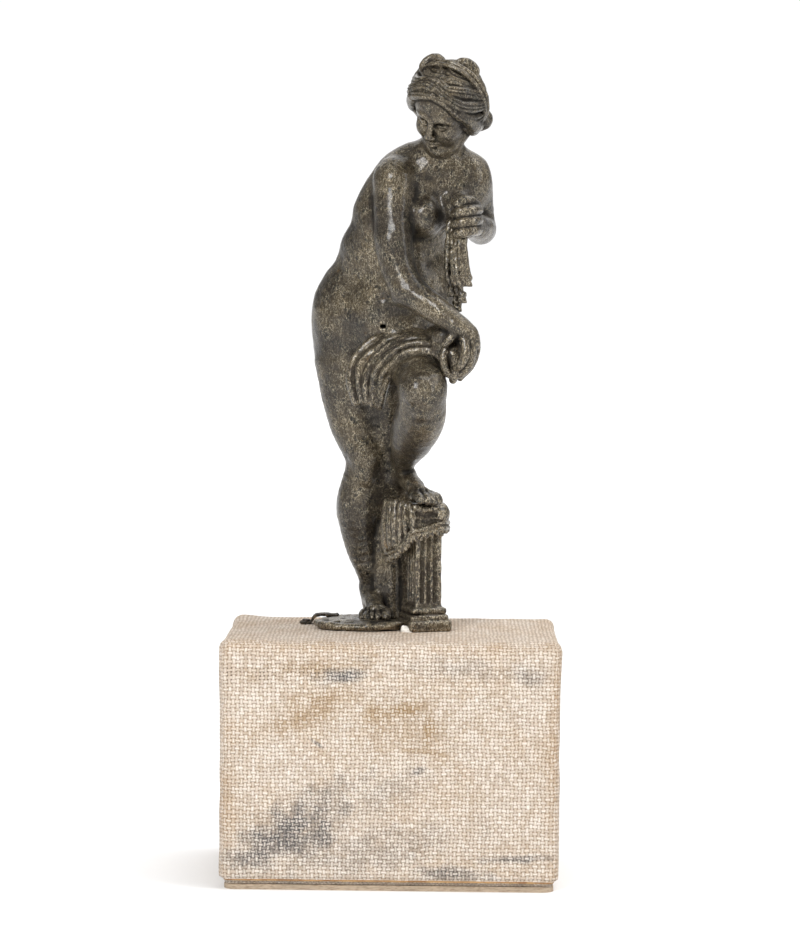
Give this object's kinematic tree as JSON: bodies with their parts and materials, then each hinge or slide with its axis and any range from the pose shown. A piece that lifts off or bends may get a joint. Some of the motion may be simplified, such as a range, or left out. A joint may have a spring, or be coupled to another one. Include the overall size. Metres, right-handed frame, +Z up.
{
  "type": "bronze statuette",
  "caption": "Small dark bronze of a bathing woman resting one foot on a draped fluted pillar, fixed to a linen-covered rectangular block",
  "frame": {"origin": "centre of the block's underside, where it stands on the table", "axes": "+Z up, -Y the side the woman faces, +X to the right as seen from the front"},
  "size_m": [0.094, 0.062, 0.2331],
  "materials": {
    "bronze": "dark brown and olive patina with fine golden speckle, waxed, glossy on the high places",
    "linen": "coarse plain-weave natural linen, stained and browned at the edges",
    "card": "matt grey-brown card with frayed edges",
    "core_wood": "plain sawn softwood, hidden by the cover",
    "fixing_steel": "plain turned steel, hidden in the block",
    "tack_iron": "blued iron, slightly rusted",
    "clip_brass": "thin brass strip gone brown",
    "putty": "dried white setting putty"
  },
  "bodies": {
    "root": {"heel_stud": "fixing_steel", "pillar_stud": "fixing_steel", "stud_washers": "fixing_steel", "stud_nuts": "fixing_steel", "cover_tacks": "tack_iron", "wood_core": "core_wood", "linen_cover": "linen", "underside_card": "card", "base_plate": "bronze", "support_pillar": "bronze", "pillar_drapery": "bronze", "figure_casting": "bronze", "thigh_drapery": "bronze", "hanging_towel": "bronze", "retaining_clip": "clip_brass", "clip_nail": "tack_iron", "setting_putty": "putty"}
  },
  "joints": []
}
